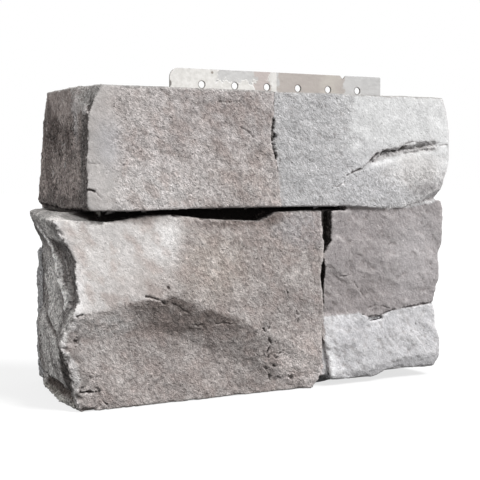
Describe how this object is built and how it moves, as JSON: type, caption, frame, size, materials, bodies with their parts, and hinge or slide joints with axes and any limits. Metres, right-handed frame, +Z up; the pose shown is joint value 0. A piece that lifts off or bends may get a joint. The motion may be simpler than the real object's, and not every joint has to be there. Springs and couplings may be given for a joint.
{
  "type": "stone cladding corner piece",
  "caption": "L-shaped cast-stone cladding corner with split-face stones in two courses, a flat back and a pierced steel flange that nails it to a wall.",
  "frame": {"origin": "foot of the inside corner, where the two wall faces meet at bed level", "axes": "+X along the long leg away from the corner, +Y from the stone face into the wall, +Z up; the short leg runs along +Y and shows its stones towards -X"},
  "size_m": [0.3015, 0.1208, 0.2197],
  "materials": {
    "cast_stone": "pigmented concrete with a split-stone face, dry and matte",
    "galvanised_sheet": "dull galvanised steel with a dried film of cement"
  },
  "bodies": {
    "root": {"stone_panel": "cast_stone", "nailing_flange": "galvanised_sheet"}
  },
  "joints": []
}
